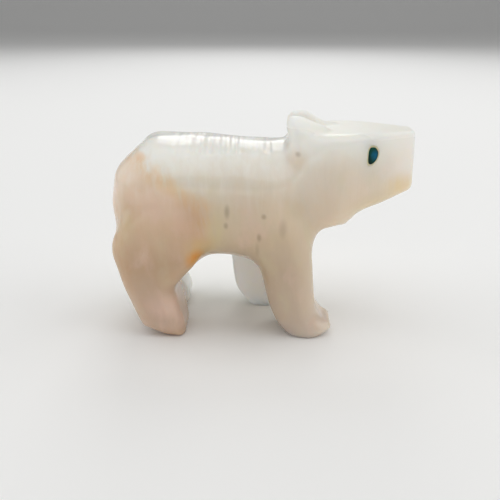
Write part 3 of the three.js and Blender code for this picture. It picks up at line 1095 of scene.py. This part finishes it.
@dataclass
class EyeInlay:
    """One eye: a drop-shaped stone let into the side of the head, in a thin bed of glue."""

    WIDEST: ClassVar[float] = 24.0
    HALVINGS: ClassVar[int] = 40
    SETTLES: ClassVar[int] = 4

    side: Side
    form: BearForm
    placement: Placement
    at: tuple[float, float] = (34.65, 61.2)
    width: float = 2.2 * MM
    height: float = 2.7 * MM
    depth: float = 1.6 * MM
    bed: float = 0.3 * MM
    proud: float = 0.03 * MM
    dome: float = 0.04 * MM
    glue_down: float = 0.15 * MM
    glue_radius: float = 0.18 * MM
    glue_sides: int = 12
    outline: tuple[Corner, ...] = (
        (-0.9, 1.08, 0.4), (0.4, 1.1, 0.45), (1.14, 0.3, 0.45), (0.8, -0.62, 0.45), (-0.1, -1.2, 0.45),
        (-1.02, -1.0, 0.45),
    )
    # the stone's foot, and its ground edge: shares of the outline and how far each lies below the top
    foot: float = 0.96
    edge: tuple[tuple[float, float], ...] = ((1.0, 0.05), (0.985, 0.02), (0.95, 0.0))
    curve_steps: int = 11
    rings: int = 12
    seat: Vector = field(init=False)
    turn: Matrix = field(init=False)

    def __post_init__(self) -> None:
        """Finds the seat on the side of the head, and the way out of the stone there."""
        inner, outer = 0.0, self.WIDEST
        for _ in range(self.HALVINGS):
            middle = (inner + outer) / 2
            place = np.array([[self.at[0], self.side.value * middle, self.at[1]]])
            if self.form.distance(*place.T)[0] < 0:
                inner = middle
            else:
                outer = middle
        place = np.array([[self.at[0], self.side.value * outer, self.at[1]]])
        outward = Vector(self.form.slope(place)[0]).normalized()
        along = outward.cross(Vector((0, 0, 1))).normalized() * -self.side.value
        upward = Vector((0, 0, 1))
        upward = (upward - outward * upward.dot(outward)).normalized()
        self.seat = Vector(self.placement.to_frame(place)[0])
        self.turn = Matrix((along, upward, outward)).transposed()

    @property
    def label(self) -> str:
        """The side's name in lower case."""
        return self.side.name.lower()

    def rim(self, grow: float) -> np.ndarray:
        """The eye's outline, grown: places back and up in metres, a drop drawn out at its lower back."""
        ring = soft_ring(self.outline, self.curve_steps)
        return ring * (-self.width / 2 - grow, self.height / 2 + grow)

    def to_frame(self, local: np.ndarray) -> np.ndarray:
        """Places on the eye's own axes as places in the frame."""
        return local @ np.array(self.turn).T + np.array(self.seat)

    def on_surface(self, flat: np.ndarray, lift: float) -> np.ndarray:
        """Points of the eye's plane moved along its axis onto the stone, and lifted a little.

        Args:
            flat: places along and up.
            lift: how far they stand out of the surface.

        Returns:
            Places in the frame.
        """
        local = np.column_stack([flat, np.zeros(len(flat))])
        axis = np.array(self.turn)[:, 2]
        points = self.to_frame(local)
        for _ in range(self.SETTLES):
            drawn = self.placement.to_drawing(points)
            points = points - axis * (self.form.distance(*drawn.T) * self.placement.unit)[:, None]
        return points + axis * lift

    def cutter(self) -> bpy.types.Object:
        """The peg that cuts the eye's bed.

        Returns:
            The peg's object.
        """
        rim = self.rim(self.bed)
        levels = (-self.depth - self.bed, self.depth)
        rings = [self.to_frame(np.column_stack([rim, np.full(len(rim), level)])) for level in levels]
        return self._closed_tube("eye_cutter_" + self.label, rings)

    def _closed_tube(self, name: str, rings: Sequence[np.ndarray]) -> bpy.types.Object:
        """Rings joined into a tube with closed ends.

        Args:
            name: the object's name.
            rings: each ring's places in the frame, from the inside out.

        Returns:
            The object.
        """
        count = len(rings[0])
        faces = []
        for a in range(0, (len(rings) - 1) * count, count):
            for i in range(count):
                j = (i + 1) % count
                faces.append((a + i, a + j, a + count + j, a + count + i))
        faces.append(tuple(reversed(range(count))))
        faces.append(tuple(range((len(rings) - 1) * count, len(rings) * count)))
        mesh = bpy.data.meshes.new(name)
        mesh.from_pydata([tuple(point) for ring in rings for point in ring], [], faces)
        if self.side is Side.RIGHT:
            mesh.flip_normals()
        mesh.validate()
        made = bpy.data.objects.new(name, mesh)
        bpy.context.scene.collection.objects.link(made)
        return made

    def build_stone(self) -> bpy.types.Object:
        """The eye stone: a peg in its bed, ground flush with the head and slightly domed.

        Returns:
            The stone's object.
        """
        rim = self.rim(0.0)
        rings = [self.to_frame(np.column_stack([rim * self.foot, np.full(len(rim), -self.depth)]))]
        for share, drop in self.edge:
            rings.append(self.on_surface(rim * share, self.proud - drop * MM))
        for k in range(1, self.rings):
            share = self.edge[-1][0] * (1 - k / self.rings)
            rings.append(self.on_surface(rim * share, self.proud + self.dome * (1 - share**2)))
        return self._closed_tube("stone_eye_" + self.label, rings)

    def build_glue(self) -> bpy.types.Object:
        """The line of glue: a thin bead that follows the stone's rim on the head.

        Returns:
            The bead's object.
        """
        path = self.on_surface(self.rim(self.bed / 2), -self.glue_down)
        mesh = bpy.data.meshes.new("glue_" + self.label)
        edges = [(i, (i + 1) % len(path)) for i in range(len(path))]
        mesh.from_pydata([tuple(point) for point in path], edges, [])
        made = bpy.data.objects.new("glue_" + self.label, mesh)
        bpy.context.scene.collection.objects.link(made)
        return made


class BeadTree:
    """A Geometry Nodes tree that sweeps a round bead along a closed path."""

    def __init__(self, material: Material) -> None:
        """Builds the tree.

        Args:
            material: the bead's material.
        """
        self.tree = bpy.data.node_groups.new("bead_along_path", "GeometryNodeTree")
        self.inputs: dict[str, str] = {}
        self._socket("Path", "NodeSocketGeometry", "INPUT")
        self._socket("Bead Radius", "NodeSocketFloat", "INPUT")
        self._socket("Bead Sides", "NodeSocketInt", "INPUT")
        self._socket("Bead", "NodeSocketGeometry", "OUTPUT")
        start = self.tree.nodes.new("NodeGroupInput")
        curve = self._node("GeometryNodeMeshToCurve", {"Mesh": start.outputs["Path"]})
        ring = self._node(
            "GeometryNodeCurvePrimitiveCircle",
            {"Radius": start.outputs["Bead Radius"], "Resolution": start.outputs["Bead Sides"]},
        )
        shapes = {"Curve": curve.outputs[0], "Profile Curve": ring.outputs[0]}
        swept = self._node("GeometryNodeCurveToMesh", shapes)
        smooth = self._node("GeometryNodeSetShadeSmooth", {"Geometry": swept.outputs[0]})
        real = self._node("GeometryNodeRealizeInstances", {"Geometry": smooth.outputs[0]})
        dressed = self._node("GeometryNodeSetMaterial", {"Geometry": real.outputs[0], "Material": material})
        self._node("NodeGroupOutput", {0: dressed.outputs[0]})

    def _socket(self, name: str, kind: str, way: str) -> None:
        """Adds a named socket to the tree."""
        made = self.tree.interface.new_socket(name=name, in_out=way, socket_type=kind)
        self.inputs[name] = made.identifier

    def _node(self, kind: str, sockets: dict) -> bpy.types.Node:
        """Makes a node of the tree.

        Args:
            kind: the node's type.
            sockets: values or sockets for its inputs.

        Returns:
            The node.
        """
        made = self.tree.nodes.new(kind)
        for key, value in sockets.items():
            feed(made.inputs[key], value)
        return made

    def sweep(self, made: bpy.types.Object, radius: float, sides: int) -> None:
        """Turns a path's object into a bead.

        Args:
            made: the path's object.
            radius: the bead's radius.
            sides: how many sides it has.
        """
        modifier = made.modifiers.new("bead", "NODES")
        modifier.node_group = self.tree
        modifier[self.inputs["Bead Radius"]] = radius
        modifier[self.inputs["Bead Sides"]] = sides
        apply_modifiers(made)


@dataclass
class BearBody:
    """The carving itself, one piece of stone."""

    SNUG: ClassVar[float] = 0.9998
    form: BearForm
    cell: float = 0.54
    even_rounds: int = 5
    crease: float = math.radians(50)
    vertices: np.ndarray = field(init=False)
    faces: np.ndarray = field(init=False)

    def __post_init__(self) -> None:
        """Meshes the form on the drawing's own grid."""
        vertices, self.faces = SurfaceNet(self.form, self.cell).build()
        vertices = self.form.settle(vertices, 2)
        for _ in range(self.even_rounds):
            vertices = self.form.settle(self._evened(vertices), 1)
        vertices[:, 2] = np.maximum(vertices[:, 2], 0)
        self.vertices = vertices

    def _evened(self, vertices: np.ndarray) -> np.ndarray:
        """Moves each vertex half way to the middle of its neighbours, so that the faces come out even.

        Args:
            vertices: the vertices.

        Returns:
            The moved vertices.
        """
        total = np.zeros_like(vertices)
        count = np.zeros(len(vertices))
        for corner in range(4):
            here, after = self.faces[:, corner], self.faces[:, (corner + 1) % 4]
            for a, b in ((here, after), (after, here)):
                for axis in range(3):
                    total[:, axis] += np.bincount(a, vertices[b, axis], len(vertices))
                count += np.bincount(a, minlength=len(vertices))
        return (vertices + total / count[:, None]) / 2

    def place(self) -> Placement:
        """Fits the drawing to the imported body's box.

        Returns:
            The placement.
        """
        low, high = (np.array(corner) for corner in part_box("bear_body"))
        drawn_low, drawn_high = self.vertices.min(axis=0), self.vertices.max(axis=0)
        unit = (high[0] - low[0]) / 100
        units = np.minimum((high - low) / (drawn_high - drawn_low) * self.SNUG, unit)
        shift = (low + high) / 2 - (drawn_low + drawn_high) / 2 * units
        shift[2] = low[2] - drawn_low[2] * units[2]
        log.info("drawn box %s to %s, units %s", drawn_low.round(2), drawn_high.round(2), units)
        return Placement(units=tuple(units), shift=tuple(shift))

    def build(self, placement: Placement, eyes: Sequence[EyeInlay]) -> bpy.types.Object:
        """Makes the carving's object and cuts the beds of the eyes.

        Args:
            placement: where the drawing lies.
            eyes: the eyes.

        Returns:
            The body's object.
        """
        made = new_mesh_object("bear_carving", placement.to_frame(self.vertices), self.faces)
        for eye in eyes:
            self._cut(made, eye.cutter())
        made.data.set_sharp_from_angle(angle=self.crease)
        return made

    @staticmethod
    def _cut(made: bpy.types.Object, cutter: bpy.types.Object) -> None:
        """Cuts one closed object out of another, and removes the cutter.

        Args:
            made: the object that is cut.
            cutter: the object that cuts.
        """
        modifier = made.modifiers.new("bed", "BOOLEAN")
        modifier.operation = "DIFFERENCE"
        modifier.solver = "EXACT"
        modifier.object = cutter
        apply_modifiers(made)
        bpy.data.objects.remove(cutter)


@dataclass(frozen=True)
class Panel:
    """A soft light panel that faces the bear.

    Its azimuth is 0 in front of the bear's right side and 90 ahead of the bear. Angles are in degrees, its
    size is in metres and its power in watts.
    """

    name: str
    azimuth: float
    elevation: float
    width: float
    height: float
    power: float


PANELS = (
    Panel("window_behind", 180, 38, 0.34, 0.62, 1.25),
    Panel("panel_above", 0, 84, 0.8, 0.8, 2.1),
    Panel("panel_rump_side", -98, 32, 0.8, 0.8, 1.7),
    Panel("panel_muzzle_side", 82, 34, 0.6, 0.6, 1.4),
    Panel("panel_far_muzzle_side", 128, 38, 0.3, 0.5, 0.5),
    Panel("panel_low_front", 0, 9, 1.4, 0.28, 1.0),
)


@dataclass
class Studio:
    """The photograph's camera, a white sweep of backdrop, and soft lights."""

    PANELS_AWAY: ClassVar[float] = 0.8
    AIM_HEIGHT: ClassVar[float] = 20 * MM
    SKY_STRENGTH: ClassVar[float] = 0.27
    centre: tuple[float, float, float] = (-2.365 * MM, 0.0, 13.7 * MM)
    distance: float = 126 * MM
    elevation: float = math.radians(21)
    azimuth: float = math.radians(1)
    focal_pixels: float = 632.5
    picture_pixels: float = 500.0
    sensor: float = 36.0

    def add_camera(self) -> None:
        """Makes the scene's camera."""
        data = bpy.data.cameras.new("camera")
        data.sensor_width = self.sensor
        data.lens = self.focal_pixels / self.picture_pixels * self.sensor
        data.clip_start = 5 * MM
        data.clip_end = 20
        made = bpy.data.objects.new("camera", data)
        back = Vector((
            math.sin(self.azimuth) * math.cos(self.elevation),
            -math.cos(self.azimuth) * math.cos(self.elevation),
            math.sin(self.elevation),
        ))
        made.location = Vector(self.centre) + back * self.distance
        made.rotation_euler = back.to_track_quat("Z", "Y").to_euler()
        bpy.context.scene.collection.objects.link(made)
        bpy.context.scene.camera = made

    def add_backdrop(self, finish: Material) -> None:
        """Makes the floor, which curves up into a wall far behind.

        Args:
            finish: its material.
        """
        half_width, near, bend, radius, top = 6.0, -2.0, 1.6, 1.0, 3.0
        profile = [(near, 0.0), (bend, 0.0)]
        steps = 16
        for k in range(1, steps + 1):
            angle = k / steps * math.pi / 2
            profile.append((bend + radius * math.sin(angle), radius * (1 - math.cos(angle))))
        profile.append((bend + radius, top))
        vertices = np.array([(x, y, z) for y, z in profile for x in (-half_width, half_width)])
        faces = np.array([(2 * k, 2 * k + 1, 2 * k + 3, 2 * k + 2) for k in range(len(profile) - 1)])
        made = new_mesh_object("backdrop", vertices, faces)
        made.data.materials.append(finish)

    def add_light(self, panel: Panel) -> None:
        """Makes one light panel.

        Args:
            panel: the panel.
        """
        data = bpy.data.lights.new(panel.name, "AREA")
        data.shape = "RECTANGLE"
        data.size = panel.width
        data.size_y = panel.height
        data.energy = panel.power
        made = bpy.data.objects.new(panel.name, data)
        turn, rise = math.radians(panel.azimuth), math.radians(panel.elevation)
        way = Vector((math.sin(turn) * math.cos(rise), -math.cos(turn) * math.cos(rise), math.sin(rise)))
        made.location = way * self.PANELS_AWAY + Vector((0, 0, self.AIM_HEIGHT))
        made.rotation_euler = way.to_track_quat("Z", "Y").to_euler()
        bpy.context.scene.collection.objects.link(made)

    def add_sky(self) -> None:
        """Makes the even white light from all round."""
        world = bpy.data.worlds.new("studio_sky")
        world.use_nodes = True
        background = world.node_tree.nodes["Background"]
        background.inputs[0].default_value = (1, 1, 1, 1)
        background.inputs[1].default_value = self.SKY_STRENGTH
        bpy.context.scene.world = world


def declare(piece: bpy.types.Object, replaced: str | None = None) -> None:
    """Tells the frame what a piece rides on, and hides the node it stands for.

    Args:
        piece: the piece.
        replaced: the node it stands for, if any.
    """
    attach(piece, "root")
    if replaced:
        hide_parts(replaced)


def main() -> None:
    """Builds the studio, the carving and the eyes, and reports each piece."""
    logging.basicConfig(level=logging.INFO, format="%(name)s: %(message)s")
    bpy.context.scene.view_settings.view_transform = "Standard"
    studio = Studio()
    studio.add_camera()
    studio.add_backdrop(BackdropFinish().build())
    studio.add_sky()
    for panel in PANELS:
        studio.add_light(panel)

    form = BearForm()
    carving = BearBody(form)
    placement = carving.place()
    eyes = [EyeInlay(side, form, placement) for side in Side]
    body = carving.build(placement, eyes)
    body.data.materials.clear()
    body.data.materials.append(CalciteFinish(placement.unit).build())
    declare(body, "bear_body")
    log.info("%s: %d faces", body.name, len(body.data.polygons))

    stone_finish = InlayFinish(placement.unit).build()
    bead = BeadTree(GlueFinish(placement.unit).build())
    for eye in eyes:
        stone = eye.build_stone()
        stone.data.materials.append(stone_finish)
        stone.data.shade_smooth()
        declare(stone, "eye_" + eye.label)
        glue = eye.build_glue()
        bead.sweep(glue, eye.glue_radius, eye.glue_sides)
        declare(glue)
        for piece in (stone, glue):
            log.info("%s: %d faces", piece.name, len(piece.data.polygons))


if __name__ == "__main__":
    main()
